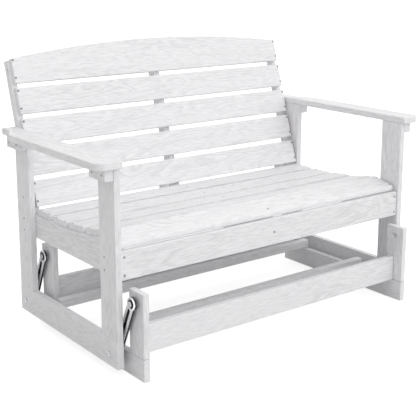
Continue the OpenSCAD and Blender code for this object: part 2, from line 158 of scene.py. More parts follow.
# The rounding of a channel's ends, as a share of half its width
CHANNEL_END = 0.9
CHANNEL_END_STEPS = 6
ROUND_SIDES = 48
EYE_SIDES = 64
HEX_SIDES = 6
UPPER_Z = 0.235
LOWER_Z = 0.0637078
FRONT_PIVOT_Y = -0.367213
REAR_PIVOT_Y = 0.172787
HANG_Y = 0.0798749

# Screws
HEAD_R = 0.0033
HEAD_SUNK = 0.0004
HEAD_T = 0.0019
HEAD_EDGE = 0.0004
HEAD_SIDES = 20
CROSS_REACH = 0.0024
CROSS_HALF_W = 0.0006
CROSS_DEPTH = 0.0011
POCKET_R = 0.0035
POCKET_LIP_R = 0.0039
POCKET_DEPTH = 0.0026
POCKET_OVER = 0.001
POCKET_SIDES = 24
# How upright a face's normal is for the face to count as the pocket's top
FACING_UP = 0.9
# How near a board's outline a screw's head has to be for its pocket to be cut there
POCKET_CLEAR = 0.002
SHANK_R = 0.0022
SHANK_SIDES = 10
POINT_SHARE = 0.4
SCREW_L = 0.038
LONG_SCREW_L = 0.046
BACK_SCREW_UP = (0.018, 0.078)
APRON_SCREW_Z = (0.308, 0.363)
APRON_MIDDLE_Z = 0.336
LEG_SCREW_SET = 0.063
LEG_SCREW_Z = (0.316, 0.355)
CLEAT_SCREW_SET = 0.018
UPRIGHT_SCREW_Z = 0.427

# Angles in degrees up to which neighbouring faces are shaded as one
BOARD_SMOOTH = 50
FINE_SMOOTH = 35
STEEL_SMOOTH = 30
# Angles in degrees from which a steel part's edges are rounded
SHARP_ANGLE = 40
HEX_ANGLE = 25

# Materials: a noise is its scale, detail, roughness and distortion, a ramp its places and tones,
# and a bump its strength and distance
LUMBER = (0.862, 0.856, 0.868)
RING_SHADE = (0.60, 0.592, 0.604)
FIBRE_SHADE = (0.64, 0.633, 0.645)
RING_STRETCH = 5.5
FIBRE_STRETCH = 11
RINGS = 13
SWELL_NOISE = (13, 2.2, 0.5, 0.6)
PATCH_NOISE = (9, 3, 0.55)
FIBRE_NOISE = (330, 2, 0.6)
RING_BANDS = [(0.0, 0.0), (0.42, 0.12), (0.80, 1.0), (0.97, 0.0)]
PATCH_BANDS = [(0.36, 0.15), (0.64, 1.0)]
FIBRE_BANDS = [(0.43, 0.0), (0.70, 1.0)]
RING_TINT = 0.50
FIBRE_TINT = 0.60
RING_GLOSS = 0.16
LUMBER_ROUGHNESS = 0.46
LUMBER_SPECULAR = 0.36
RING_RELIEF = 0.7
FIBRE_RELIEF = 0.3
LUMBER_BUMP = (0.55, 0.0006)

STEEL_CLOUD = (160, 3, 0.6)
STEEL_MARKS = (900, 2, 0.7)
STEEL_DARK = 0.8
STEEL_WEAR = 0.16
STEEL_BUMP = (0.12, 0.0001)
BOLT_TONE = (0.62, 0.63, 0.65)
BOLT_ROUGHNESS = 0.14
SCREW_TONE = (0.40, 0.40, 0.41)
SCREW_ROUGHNESS = 0.42

# Painted shade on the arm: its tone by its depth below the outer face, as a share of the arm's thickness,
# bright on the rib tops and dark in the channel, the eye recesses and down the sides
CHROME_PAINTED_SHADE_BANDS = [(0.0, (0.97, 0.975, 0.985)), (0.19, (0.95, 0.955, 0.965)), (0.25, (0.11, 0.112, 0.116)),
                (0.38, (0.03, 0.031, 0.033)), (0.70, (0.05, 0.051, 0.054)), (0.90, (0.24, 0.243, 0.25))]
CHROME_CLOUD = (240, 3, 0.6)
CHROME_WEAR = 0.12
CHROME_ROUGHNESS = 0.08
CHROME_METAL = 0.8

BLACK_SPECKS = (700, 3, 0.6)
BLACK_DARK = 0.7
BLACK_BUMP = (0.2, 0.0001)
BUSHING_TONE = (0.03, 0.03, 0.032)
BUSHING_ROUGHNESS = 0.5
MOTTLE_LOW = 0.3
MOTTLE_HIGH = 0.7

# Where each kind of board's grain starts in its pattern
ACROSS_START = (0.3, 0.02, 0.01)
LENGTHWISE_START = (0.4, 0.1, 0.05)
UPRIGHT_START = (0.2, 0.3, 0.1)
LEANING_START = (0.1, 0.2, 0.4)

# Studio
FLOOR_SIZE = 120
FLOOR_DOWN = 0.0005
FLOOR_TONE = (0.62, 0.62, 0.622, 1)
FLOOR_ROUGHNESS = 0.95
FLOOR_GLOW = 0.70
WHITE = (1, 1, 1, 1)
SKY_LEVEL = 0.41
SKY_FRONT = 0.56
SKY_TOP = 0.46
SKY_RIGHT = 0.84
KEY_PLACE = (1.4, -3.4, 3.2)
KEY_TARGET = (0, 0, 0.4)
KEY_SIZE = 2.6
KEY_POWER = 12
CAMERA_PLACE = (-1.9086, -2.4978, 1.2050)
CAMERA_DOWN = 12.262
CAMERA_TURN = -37.116
CAMERA_LENS = 80.7
CAMERA_SENSOR = 36
CAMERA_SHIFT = -0.12
CAMERA_REACH = 200


def leave_all():
    """Leaves nothing selected"""
    bpy.ops.object.select_all(action="DESELECT")


def take(piece):
    """Selects one piece and makes it the active one"""
    leave_all()
    piece.select_set(True)
    bpy.context.view_layer.objects.active = piece


def freeze(piece):
    """Puts a piece's place, turn and size into its mesh"""
    take(piece)
    bpy.ops.object.transform_apply(location=True, rotation=True, scale=True)


def settle(piece, turn):
    """Turns and moves a piece that was made level"""
    piece.matrix_world = turn
    freeze(piece)


def added(name):
    """Names and freezes the primitive that was just added"""
    piece = bpy.context.object
    piece.name = name
    piece.data.name = name
    freeze(piece)
    return piece


def saw(name, low, high):
    """Saws a square-edged block between two corners"""
    low, high = Vector(low), Vector(high)
    leave_all()
    bpy.ops.mesh.primitive_cube_add(size=1, location=(low + high) / 2, scale=high - low)
    return added(name)


def turned(name, low_x, high_x, radius, sides=ROUND_SIDES, high_radius=None):
    """Turns a round bar that lies across the bench between two places"""
    leave_all()
    bpy.ops.mesh.primitive_cone_add(
        vertices=sides, radius1=radius, radius2=radius if high_radius is None else high_radius,
        depth=high_x - low_x, location=((low_x + high_x) / 2, 0, 0), rotation=(0, math.pi / 2, 0))
    return added(name)


def mark_edges(piece, wanted):
    """Selects the edges whose two ends pass the test, and stays in edit mode"""
    take(piece)
    bpy.ops.object.mode_set(mode="EDIT")
    bpy.ops.mesh.select_mode(type="EDGE")
    bpy.ops.mesh.select_all(action="DESELECT")
    bpy.ops.object.mode_set(mode="OBJECT")
    corners = piece.data.vertices
    for edge in piece.data.edges:
        edge.select = wanted(corners[edge.vertices[0]].co, corners[edge.vertices[1]].co)
    bpy.ops.object.mode_set(mode="EDIT")


def mark_corners(piece, wanted):
    """Selects the corners whose place passes the test, and stays in edit mode"""
    take(piece)
    bpy.ops.object.mode_set(mode="EDIT")
    bpy.ops.mesh.select_mode(type="VERT")
    bpy.ops.mesh.select_all(action="DESELECT")
    bpy.ops.object.mode_set(mode="OBJECT")
    for corner in piece.data.vertices:
        corner.select = wanted(corner.co)
    bpy.ops.object.mode_set(mode="EDIT")


def shift_corners(piece, wanted, by):
    """Moves some of a piece's corners"""
    mark_corners(piece, wanted)
    bpy.ops.transform.translate(value=by)
    bpy.ops.object.mode_set(mode="OBJECT")


def round_over(piece, wanted, radius, steps):
    """Rounds the edges whose two ends pass the test"""
    mark_edges(piece, wanted)
    bpy.ops.mesh.bevel(offset=radius, segments=steps, affect="EDGES")
    bpy.ops.object.mode_set(mode="OBJECT")


def mark_all(piece):
    """Selects a piece's whole mesh, and stays in edit mode"""
    take(piece)
    bpy.ops.object.mode_set(mode="EDIT")
    bpy.ops.mesh.select_all(action="SELECT")


def slice_at(piece, place, normal, drop_below=False):
    """Cuts a piece along a plane, and can take away what lies below it"""
    mark_all(piece)
    bpy.ops.mesh.bisect(plane_co=place, plane_no=normal, use_fill=drop_below, clear_inner=drop_below)
    bpy.ops.object.mode_set(mode="OBJECT")


def ends_of(piece, axis):
    """The lowest and highest place of a piece along an axis"""
    places = [corner.co[axis] for corner in piece.data.vertices]
    return min(places), max(places)


def round_long_edges(piece, axis, radius):
    """Rounds the edges that run along a board"""
    round_over(piece, lambda a, b: abs(a[axis] - b[axis]) > HAIR, radius, EDGE_STEPS)


def touch_ends(piece, axis, radius=SAWN_EDGE):
    """Takes the sharpness off a board's two ends"""
    low, high = ends_of(piece, axis)
    at_end = lambda a, b: max(a[axis], b[axis]) < low + HAIR or min(a[axis], b[axis]) > high - HAIR
    round_over(piece, at_end, radius, SAWN_STEPS)


def mill(name, low, high, axis, radius=BOARD_EDGE, sawn_radius=SAWN_EDGE):
    """Makes a board with rounded long edges and sawn ends"""
    board = saw(name, low, high)
    round_long_edges(board, axis, radius)
    touch_ends(board, axis, sawn_radius)
    return board


def machine(piece, kind, tool):
    """Joins a tool's shape to a piece or cuts it out, and throws the tool away"""
    take(piece)
    work = piece.modifiers.new("work", "BOOLEAN")
    work.operation = kind
    work.solver = "EXACT"
    work.object = tool
    bpy.ops.object.modifier_apply(modifier=work.name)
    bpy.data.objects.remove(tool)


def joined(name, parts):
    """Joins loose parts into one piece"""
    leave_all()
    for part in parts:
        part.select_set(True)
    bpy.context.view_layer.objects.active = parts[0]
    bpy.ops.object.join()
    parts[0].name = name
    parts[0].data.name = name
    return parts[0]


def repeated(name, pattern, turns):
    """Copies a part to every place in the list and joins the copies"""
    copies = []
    for turn in turns:
        copy = pattern.copy()
        copy.data = pattern.data.copy()
        bpy.context.collection.objects.link(copy)
        settle(copy, turn)
        copies.append(copy)
    return joined(name, copies)


def flip_over(piece):
    """Mirrors a piece to the other side of the bench and turns its faces outwards again"""
    take(piece)
    piece.scale = (-1, 1, 1)
    bpy.ops.object.transform_apply(location=True, rotation=True, scale=True)
    mark_all(piece)
    bpy.ops.mesh.remove_doubles(threshold=HAIR / 10)
    bpy.ops.mesh.normals_make_consistent(inside=False)
    bpy.ops.object.mode_set(mode="OBJECT")


def smooth(piece, angle=BOARD_SMOOTH):
    """Shades round edges smoothly while broad faces stay flat"""
    take(piece)
    bpy.ops.object.shade_smooth_by_angle(angle=math.radians(angle))
    even = piece.modifiers.new("even", "WEIGHTED_NORMAL")
    even.keep_sharp = True
    even.weight = 100
    bpy.ops.object.modifier_apply(modifier=even.name)


def soft_edges(piece, width, steps=STEEL_STEPS, angle=SHARP_ANGLE):
    """Rounds all of a steel part's sharp edges a little"""
    take(piece)
    bevel = piece.modifiers.new("soft", "BEVEL")
    bevel.width = width
    bevel.segments = steps
    bevel.limit_method = "ANGLE"
    bevel.angle_limit = math.radians(angle)
    bpy.ops.object.modifier_apply(modifier=bevel.name)


def hand_over(piece, body, nodes, finish):
    """Gives a piece its finish and its body, and hides the solids that it stands for"""
    piece.data.materials.clear()
    piece.data.materials.append(finish)
    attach(piece, body)
    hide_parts(*nodes)


def shader(name):
    """Starts a material and returns it with its nodes, its links and its main shader"""
    finish = bpy.data.materials.new(name)
    finish.use_nodes = True
    tree = finish.node_tree
    return finish, tree.nodes, tree.links, tree.nodes["Principled BSDF"]


def calculate(nodes, links, kind, first, second=None):
    """The result of a calculation on values that may be numbers or other nodes' outputs"""
    step = nodes.new("ShaderNodeMath")
    step.operation = kind
    for socket, value in zip(step.inputs, (first, second)):
        if isinstance(value, (int, float)):
            socket.default_value = value
        elif value is not None:
            links.new(value, socket)
    return step.outputs[0]


def ramp(nodes, links, value, stops):
    """A blend of tones, given as places with a grey level or a colour for each"""
    band = nodes.new("ShaderNodeValToRGB")
    steps = band.color_ramp.elements
    while len(steps) < len(stops):
        steps.new(0.5)
    for step, (place, tone) in zip(steps, stops):
        step.position = place
        step.color = (tone, tone, tone, 1) if isinstance(tone, (int, float)) else (*tone, 1)
    links.new(value, band.inputs["Fac"])
    return band.outputs["Color"]


def noise(nodes, links, place, scale, detail, roughness, distortion=0.0):
    """Soft random variation over a pattern's own space"""
    cloud = nodes.new("ShaderNodeTexNoise")
    cloud.inputs["Scale"].default_value = scale
    cloud.inputs["Detail"].default_value = detail
    cloud.inputs["Roughness"].default_value = roughness
    cloud.inputs["Distortion"].default_value = distortion
    links.new(place, cloud.inputs["Vector"])
    return cloud.outputs["Fac"]


def laid_along(nodes, links, turn, start, stretch):
    """The space of a pattern that is drawn out along a board"""
    where = nodes.new("ShaderNodeTexCoord")
    lay = nodes.new("ShaderNodeMapping")
    lay.vector_type = "TEXTURE"
    lay.inputs["Location"].default_value = start
    lay.inputs["Rotation"].default_value = turn
    lay.inputs["Scale"].default_value = (stretch, 1, 1)
    links.new(where.outputs["Object"], lay.inputs["Vector"])
    return lay.outputs["Vector"]


def varied(nodes, links, value, amount, least):
    """A value that is scaled and lifted"""
    return calculate(nodes, links, "ADD", calculate(nodes, links, "MULTIPLY", value, amount), least)


def tinted(nodes, links, shade, strength, tint):
    """A mix towards a shade, returned with its first colour's socket"""
    mix = nodes.new("ShaderNodeMix")
    mix.data_type = "RGBA"
    mix.inputs["B"].default_value = (*shade, 1)
    links.new(calculate(nodes, links, "MULTIPLY", strength, tint), mix.inputs["Factor"])
    return mix.inputs["A"], mix.outputs["Result"]


def mottle(nodes, links, face, cloud, tone, dark):
    """Lets a finish's tone drift down to a share of itself"""
    shade = tuple(dark * part for part in tone)
    drift = ramp(nodes, links, cloud, [(MOTTLE_LOW, shade), (MOTTLE_HIGH, tone)])
    links.new(drift, face.inputs["Base Color"])


def pressed(nodes, links, face, height, strength, distance):
    """Presses a pattern's relief into a surface, and returns the node that does it"""
    press = nodes.new("ShaderNodeBump")
    press.inputs["Strength"].default_value = strength
    press.inputs["Distance"].default_value = distance
    links.new(height, press.inputs["Height"])
    links.new(press.outputs["Normal"], face.inputs["Normal"])
    return press


def poly_lumber(name, turn, start):
    """White poly lumber with growth rings and fine fibres that run along the board"""
    finish, nodes, links, face = shader(name)
    rings_space = laid_along(nodes, links, turn, start, RING_STRETCH)
    fibre_space = laid_along(nodes, links, turn, start, FIBRE_STRETCH)

    swell = noise(nodes, links, rings_space, *SWELL_NOISE)
    growth = calculate(nodes, links, "FRACT", calculate(nodes, links, "MULTIPLY", swell, RINGS))
    ring = ramp(nodes, links, growth, RING_BANDS)
    patches = ramp(nodes, links, noise(nodes, links, rings_space, *PATCH_NOISE), PATCH_BANDS)
    ring = calculate(nodes, links, "MULTIPLY", ring, patches)
    fibre = ramp(nodes, links, noise(nodes, links, fibre_space, *FIBRE_NOISE), FIBRE_BANDS)

    plain, ringed = tinted(nodes, links, RING_SHADE, ring, RING_TINT)
    plain.default_value = (*LUMBER, 1)
    before, fibred = tinted(nodes, links, FIBRE_SHADE, fibre, FIBRE_TINT)
    links.new(ringed, before)
    links.new(fibred, face.inputs["Base Color"])

    links.new(varied(nodes, links, ring, RING_GLOSS, LUMBER_ROUGHNESS), face.inputs["Roughness"])
    face.inputs["Specular IOR Level"].default_value = LUMBER_SPECULAR
    relief = calculate(nodes, links, "ADD", calculate(nodes, links, "MULTIPLY", ring, RING_RELIEF),
                       calculate(nodes, links, "MULTIPLY", fibre, FIBRE_RELIEF))
    pressed(nodes, links, face, relief, *LUMBER_BUMP).invert = True
    return finish


QUARTER = math.pi / 2
GRAIN_ACROSS = (0, 0, 0)
GRAIN_LENGTHWISE = (0, 0, QUARTER)
GRAIN_UPRIGHT = (0, -QUARTER, 0)
GRAIN_LEANING = tuple((Matrix.Rotation(-BACK_LEAN, 3, "X") @ Matrix.Rotation(-QUARTER, 3, "Y")).to_euler())


def plated_steel(name, tone, roughness):
    """Zinc-plated steel with faint cloudiness and fine polishing marks"""
    finish, nodes, links, face = shader(name)
    space = laid_along(nodes, links, (0, 0, 0), (0, 0, 0), 1)
    mottle(nodes, links, face, noise(nodes, links, space, *STEEL_CLOUD), tone, STEEL_DARK)
    marks = noise(nodes, links, space, *STEEL_MARKS)
    links.new(varied(nodes, links, marks, STEEL_WEAR, roughness), face.inputs["Roughness"])
    face.inputs["Metallic"].default_value = 1
    pressed(nodes, links, face, marks, *STEEL_BUMP)
    return finish


def painted_shade_arm_chrome():
    """Chrome on an arm with painted shade: bright on its ribs and the rims of its eyes, darker in its
    channel, its recesses and down its sides
    """
    finish, nodes, links, face = shader("arm_chrome_with_painted_shade")
    where = nodes.new("ShaderNodeTexCoord")
    split = nodes.new("ShaderNodeSeparateXYZ")
    links.new(where.outputs["Object"], split.inputs["Vector"])
    # Painted shade by depth below the arm's outer face: bright on the rib tops, dark in the channel, the eye
    # recesses and down the sides
    out = calculate(nodes, links, "ABSOLUTE", split.outputs["X"])
    below = calculate(nodes, links, "SUBTRACT", ARM_X + ARM_T, out)
    deep = calculate(nodes, links, "DIVIDE", below, ARM_T)
    links.new(ramp(nodes, links, deep, CHROME_PAINTED_SHADE_BANDS), face.inputs["Base Color"])
    cloud = noise(nodes, links, where.outputs["Object"], *CHROME_CLOUD)
    links.new(varied(nodes, links, cloud, CHROME_WEAR, CHROME_ROUGHNESS), face.inputs["Roughness"])
    face.inputs["Metallic"].default_value = CHROME_METAL
    return finish


def moulded_black(name, tone, roughness):
    """Dark moulded nylon with a fine texture"""
    finish, nodes, links, face = shader(name)
    space = laid_along(nodes, links, (0, 0, 0), (0, 0, 0), 1)
    speck = noise(nodes, links, space, *BLACK_SPECKS)
    mottle(nodes, links, face, speck, tone, BLACK_DARK)
    face.inputs["Roughness"].default_value = roughness
    pressed(nodes, links, face, speck, *BLACK_BUMP)
    return finish


lumber_across = poly_lumber("poly_lumber_grain_across", GRAIN_ACROSS, ACROSS_START)
lumber_lengthwise = poly_lumber("poly_lumber_grain_lengthwise", GRAIN_LENGTHWISE, LENGTHWISE_START)
lumber_upright = poly_lumber("poly_lumber_grain_upright", GRAIN_UPRIGHT, UPRIGHT_START)
lumber_leaning = poly_lumber("poly_lumber_grain_leaning", GRAIN_LEANING, LEANING_START)
chrome = painted_shade_arm_chrome()
bolt_zinc = plated_steel("zinc_plated_bolt", BOLT_TONE, BOLT_ROUGHNESS)
screw_grey = plated_steel("coated_deck_screw", SCREW_TONE, SCREW_ROUGHNESS)
bushing_nylon = moulded_black("black_nylon_bushing", BUSHING_TONE, BUSHING_ROUGHNESS)

BACK_FRAME = Matrix.Translation((0, BACK_Y, BACK_Z)) @ Matrix.Rotation(-BACK_LEAN, 4, "X")


def seat_frame(i):
    """Where a seat slat lies: its origin is the centre of its top"""
    return (Matrix.Translation((0, SEAT_Y[i], SEAT_Z + SEAT_LIFT[i]))
            @ Matrix.Rotation(math.radians(-SEAT_RISE[i]), 4, "X"))


def seat_width(i):
    """Front to back width of a seat slat"""
    return FRONT_SLAT_W if i == SEAT_SLATS - 1 else SLAT_W


# Where each screw's head lies, as a turn from a screw that goes straight down from the origin
INTO_FRONT = Matrix.Rotation(QUARTER, 4, "X")
INTO_RIGHT_SIDE = Matrix.Rotation(QUARTER, 4, "Y")
INTO_LEFT_SIDE = Matrix.Rotation(-QUARTER, 4, "Y")


def seat_heads():
    """Heads of the screws in the seat slats"""
    heads = []
    for i in range(SEAT_SLATS):
        edge = seat_width(i) / 2 - SEAT_SCREW_EDGE
        for x in (-SCREW_X, SCREW_X):
            heads += [seat_frame(i) @ Matrix.Translation((x, y, 0)) for y in (-edge, edge)]
        middle = -FRONT_SCREW_SET if i == SEAT_SLATS - 1 else 0
        heads.append(seat_frame(i) @ Matrix.Translation((0, middle, 0)))
    return heads


def back_heads():
    """Heads of the screws in the back slats"""
    heads = []
    for k in range(BACK_SLATS):
        for x in (-SCREW_X, SCREW_X):
            for up in BACK_SCREW_UP:
                heads.append(BACK_FRAME @ Matrix.Translation((x, 0, k * BACK_PITCH + up)) @ INTO_FRONT)
    return heads


APRON_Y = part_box("apron")[0].y
FRONT_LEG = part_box("front_leg_left")
REAR_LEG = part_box("rear_leg_left")
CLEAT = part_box("cleat_front_left")
POST_IN, POST_OUT = (corner.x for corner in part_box("post_front_right"))


def apron_heads():
    """Heads of the screws in the apron"""
    spots = [(x, z) for x in (-SCREW_X, SCREW_X) for z in APRON_SCREW_Z] + [(0, APRON_MIDDLE_Z)]
    return [Matrix.Translation((x, APRON_Y, z)) @ INTO_FRONT for x, z in spots]


def frame_spots():
    """Places of the side frames' short and long screws on the right side"""
    front_y = FRONT_LEG[0].y + LEG_SCREW_SET
    rear_y = (REAR_LEG[0].y + REAR_LEG[1].y) / 2
    middle = SLAT_T + UPRIGHT_D / 2
    out = (UPRIGHT_SCREW_Z - BACK_Z + middle * math.sin(BACK_LEAN)) / math.cos(BACK_LEAN)
    upright_y = BACK_Y + out * math.sin(BACK_LEAN) + middle * math.cos(BACK_LEAN)
    short = [(OUTER_X, y, z) for y in (front_y, rear_y) for z in LEG_SCREW_Z]
    short.append((OUTER_X, upright_y, UPRIGHT_SCREW_Z))
    cleat_z = (CLEAT[0].z + CLEAT[1].z) / 2
    ends = [(leg[0].y + CLEAT_SCREW_SET, leg[1].y - CLEAT_SCREW_SET) for leg in (FRONT_LEG, REAR_LEG)]
    long = [(-CLEAT[0].x, y, cleat_z) for pair in ends for y in pair]
    return short, long


def on_both_sides(spots):
    """Turns of screws driven in from the right and from the left"""
    turns = []
    for x, y, z in spots:
        turns.append(Matrix.Translation((x, y, z)) @ INTO_RIGHT_SIDE)
        turns.append(Matrix.Translation((-x, y, z)) @ INTO_LEFT_SIDE)
    return turns


short_spots, long_spots = frame_spots()
SEAT_HEADS = seat_heads()
BACK_HEADS = back_heads()
APRON_HEADS = apron_heads()
SHORT_HEADS = on_both_sides(short_spots)
LONG_HEADS = on_both_sides(long_spots)


def pin(name, sides, radius, high, low):
    """A round pin on the vertical axis between two heights"""
    leave_all()
    bpy.ops.mesh.primitive_cylinder_add(vertices=sides, radius=radius, depth=high - low,
                                        location=(0, 0, (high + low) / 2))
    return added(name)


def resize_end(piece, wanted, share, height):
    """Scales some of a pin's corners about its axis"""
    mark_corners(piece, wanted)
    bpy.ops.transform.resize(value=(share, share, 1), center_override=(0, 0, height))
    bpy.ops.object.mode_set(mode="OBJECT")


def screw(name, length):
    """A flat-headed deck screw with a cross recess, straight down from the origin"""
    top = -HEAD_SUNK
    neck = top - HEAD_T
    head = pin(name, HEAD_SIDES, HEAD_R, top, neck)
    round_over(head, lambda a, b: min(a.z, b.z) > top - HAIR, HEAD_EDGE, STEEL_STEPS)
    for reach, half_w in ((CROSS_REACH, CROSS_HALF_W), (CROSS_HALF_W, CROSS_REACH)):
        slot = saw("slot", (-reach, -half_w, top - CROSS_DEPTH), (reach, half_w, top + CROSS_DEPTH))
        machine(head, "DIFFERENCE", slot)
    shank = pin("shank", SHANK_SIDES, SHANK_R, neck, -length)
    resize_end(shank, lambda c: c.z < -length + HAIR, POINT_SHARE, -length)
    return joined(name, [head, shank])


def pocket_cutter():
    """The shape of a screw's pocket, with a lip that widens at the surface"""
    cutter = pin("pocket", POCKET_SIDES, POCKET_R, 0, -POCKET_DEPTH)
    resize_end(cutter, lambda c: c.z > -HAIR, POCKET_LIP_R / POCKET_R, 0)
    take(cutter)
    bpy.ops.object.mode_set(mode="EDIT")
    bpy.ops.mesh.select_mode(type="FACE")
    bpy.ops.mesh.select_all(action="DESELECT")
    bpy.ops.object.mode_set(mode="OBJECT")
    for face in cutter.data.polygons:
        face.select = face.normal.z > FACING_UP
    bpy.ops.object.mode_set(mode="EDIT")
    bpy.ops.mesh.extrude_region_move(TRANSFORM_OT_translate={"value": (0, 0, POCKET_OVER)})
    bpy.ops.object.mode_set(mode="OBJECT")
    return cutter


pocket = pocket_cutter()


def sink_pockets(board, heads):
    """Cuts the pockets of those of the screws whose heads lie on a board"""
    spans = [ends_of(board, axis) for axis in (ACROSS, ALONG, UP)]
    clear = POCKET_CLEAR
    near = lambda place: all(low - clear < at < high + clear for at, (low, high) in zip(place, spans))
    mine = [head for head in heads if near(head.to_translation())]
    if mine:
        machine(board, "DIFFERENCE", repeated("pockets", pocket, mine))


def bolt_hole(board, x, y, z):
    """Drills a pivot bolt's hole through a board that stands on edge"""
    drill = turned("drill", x - BOARD_T, x + BOARD_T, BOLT_R)
    settle(drill, Matrix.Translation((0, y, z)))
    machine(board, "DIFFERENCE", drill)


def square_board(node, axis, heads=(), planed_by=PLANED, radius=BOARD_EDGE, sawn_radius=SAWN_EDGE):
    """A board that lies square to the bench at its solid's place, unplaned where it meets the floor"""
    low, high = (Vector(corner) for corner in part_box(node))
    under = 0 if low.z < HAIR else planed_by
    low += Vector((planed_by, planed_by, under))
    high -= Vector((planed_by, planed_by, planed_by))
    board = mill(node + "_board", low, high, axis, radius, sawn_radius)
    sink_pockets(board, heads)
    return board


def deliver(board, node, body, finish):
    """Shades a board and hands it over"""
    smooth(board)
    hand_over(board, body, [node], finish)


SIDES = ("left", "right")
ENDS = ("front", "rear")
PIVOT_Y = {"front": FRONT_PIVOT_Y, "rear": REAR_PIVOT_Y}
SIGN = {"left": -1, "right": 1}

# Base
for side in SIDES:
    deliver(square_board("base_rail_" + side, ALONG), "base_rail_" + side, "base", lumber_lengthwise)
    for end in ENDS:
        node = f"post_{end}_{side}"
        post = square_board(node, UP)
        bolt_hole(post, SIGN[side] * (POST_IN + POST_OUT) / 2, PIVOT_Y[end], UPPER_Z)
        deliver(post, node, "base", lumber_upright)
for node in ("base_front_rail", "base_rear_rail", "stretcher_front", "stretcher_rear"):
    deliver(square_board(node, ACROSS), node, "base", lumber_across)

# Side frames
for side in SIDES:
    node = "bottom_rail_" + side
    rail = square_board(node, ALONG, (), CLOSE_PLANED, CLOSE_EDGE, CLOSE_SAWN_EDGE)
    for end in ENDS:
        bolt_hole(rail, SIGN[side] * (LEG_X + BOARD_T / 2), PIVOT_Y[end] + HANG_Y, LOWER_Z)
    deliver(rail, node, "glider", lumber_lengthwise)
    for end in ENDS:
        node = f"{end}_leg_{side}"
        leg = square_board(node, UP, SHORT_HEADS, CLOSE_PLANED, BOARD_EDGE, CLOSE_SAWN_EDGE)
        deliver(leg, node, "glider", lumber_upright)
        node = f"cleat_{end}_{side}"
        deliver(square_board(node, ALONG, LONG_HEADS), node, "glider", lumber_lengthwise)


def apron():
    """The board below the seat's nose, whose upper rear edge is left sharp"""
    low, high = (Vector(corner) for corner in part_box("apron"))
    board = saw("apron_board", low + Vector((PLANED, PLANED, PLANED)), high - Vector((PLANED, PLANED, 0)))
    sharp = lambda c: c.y > high.y - 2 * PLANED and c.z > high.z - HAIR
    round_over(board, lambda a, b: abs(a.x - b.x) > HAIR and not sharp(a), BOARD_EDGE, EDGE_STEPS)
    touch_ends(board, ACROSS)
    sink_pockets(board, APRON_HEADS)
    deliver(board, "apron", "glider", lumber_across)


apron()


def armrest(side):
    """An armrest with a round outer front corner and a tail that turns in beside the back"""
    node = "armrest_" + side
    low, high = (Vector(corner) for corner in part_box("armrest_right"))
    rest = saw(node + "_board", low, high)
    slice_at(rest, (0, ARMREST_WIDE_END, 0), (0, 1, 0))
    slice_at(rest, (0, ARMREST_SLANT_END, 0), (0, 1, 0))
    tail = lambda c: c.x > high.x - HAIR and c.y > ARMREST_SLANT_END - HAIR
    shift_corners(rest, tail, (-ARMREST_TURN_IN, 0, 0))
    mark_all(rest)
    bpy.ops.mesh.dissolve_limited(angle_limit=FLAT_ANGLE)
    bpy.ops.object.mode_set(mode="OBJECT")
    upright = lambda a, b: abs(a.z - b.z) > HAIR
    outer_front = lambda a, b: upright(a, b) and a.x > high.x - HAIR and a.y < low.y + HAIR
    round_over(rest, outer_front, ARMREST_CORNER, CORNER_STEPS)
    others = lambda a, b: upright(a, b) and (a.x < low.x + HAIR or a.y > high.y - HAIR)
    round_over(rest, others, TAIL_EDGE, TAIL_STEPS)
    round_over(rest, lambda a, b: abs(a.z - b.z) < HAIR, ARMREST_EDGE, EDGE_STEPS)
    if side == "left":
        flip_over(rest)
    deliver(rest, node, "glider", lumber_lengthwise)


for side in SIDES:
    armrest(side)


def under_slat(i, end):
    """Lower corner of a seat slat's section: end is 1 for its rear corner and -1 for its front one"""
    return seat_frame(i) @ Vector((0, end * seat_width(i) / 2, -SLAT_T))


def seat_rail(node, low_x, high_x):
    """A seat rail whose top follows the undersides of the slats"""
    top = SEAT_Z - SLAT_T
    rail = saw(node + "_board", (low_x, RAIL_FRONT_Y, SEAT_UNDER_Z), (high_x, RAIL_REAR_Y, top))
    places = [under_slat(i, end) for i in range(SEAT_SLATS) for end in (1, -1)]
    behind, ahead = places[-2:]
    places = [place for place in places if place.y > RAIL_FRONT_Y + HAIR]
    for place in places:
        slice_at(rail, (0, place.y, 0), (0, 1, 0))
    slope = (behind.z - ahead.z) / (behind.y - ahead.y)
    places.append(Vector((0, RAIL_FRONT_Y, ahead.z + slope * (RAIL_FRONT_Y - ahead.y))))
    for place in places:
        if abs(place.z - top) > HAIR:
            rim = lambda c: abs(c.y - place.y) < HAIR and c.z > top - HAIR
            shift_corners(rail, rim, (0, 0, place.z - top))
    runs_low = lambda a, b: abs(a.y - b.y) > HAIR and max(a.z, b.z) < SEAT_UNDER_Z + HAIR
    round_over(rail, runs_low, BOARD_EDGE, EDGE_STEPS)
    along = lambda a, b: abs(a.y - b.y) > HAIR and abs(a.x - b.x) < HAIR
    round_over(rail, lambda a, b: along(a, b) and min(a.z, b.z) > top - RAIL_TOP_BAND, RAIL_TOP_EDGE, 1)
    deliver(rail, node, "glider", lumber_lengthwise)


seat_rail("seat_rail_left", -LEG_X, -LEG_X + BOARD_T)
seat_rail("seat_rail_centre", -CENTRE_T / 2, CENTRE_T / 2)
seat_rail("seat_rail_right", LEG_X - BOARD_T, LEG_X)

